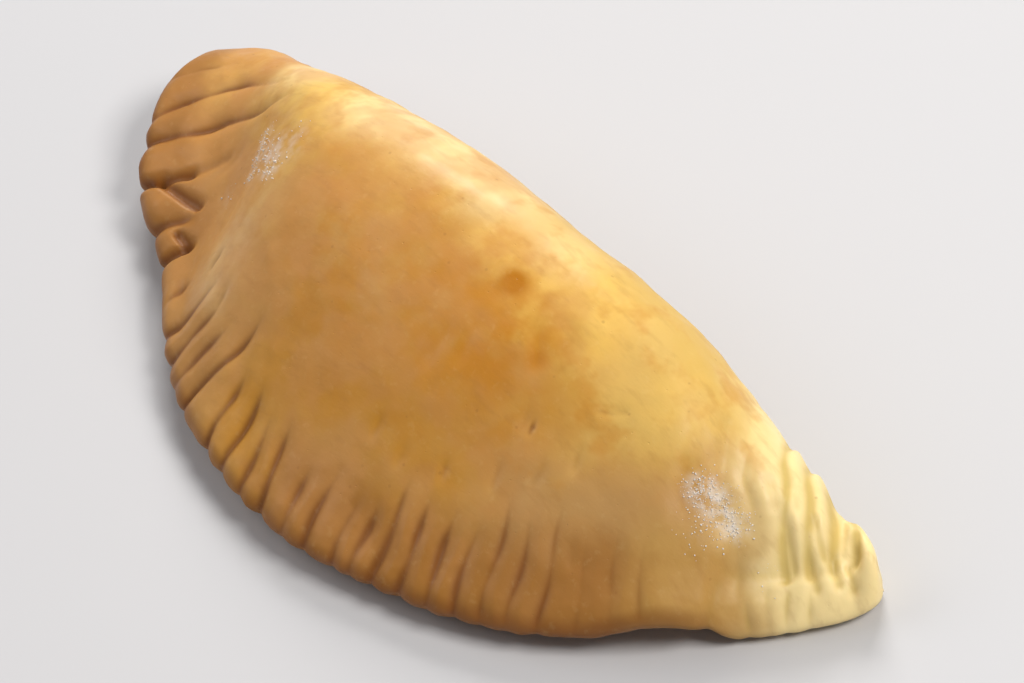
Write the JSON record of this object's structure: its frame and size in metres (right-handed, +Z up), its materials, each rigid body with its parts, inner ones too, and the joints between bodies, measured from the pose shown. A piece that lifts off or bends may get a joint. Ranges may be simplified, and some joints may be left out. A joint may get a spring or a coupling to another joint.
{
  "type": "empanada",
  "caption": "Baked half-moon empanada: a filled pastry with a high rounded fold at the back and a thin fork-crimped rim round the front, resting on its flat base.",
  "frame": {"origin": "centre of the bounding box's bottom face, on the plane the pastry rests on", "axes": "+X from the blunt left tip to the pointed right tip, +Y towards the rounded fold, so the crimped rim faces -Y, +Z up"},
  "size_m": [0.1582, 0.065, 0.0369],
  "materials": {
    "crust": "golden, unevenly browned, thinly egg-washed shortcrust with a soft sheen"
  },
  "bodies": {
    "root": {"empanada": "crust"}
  },
  "joints": []
}
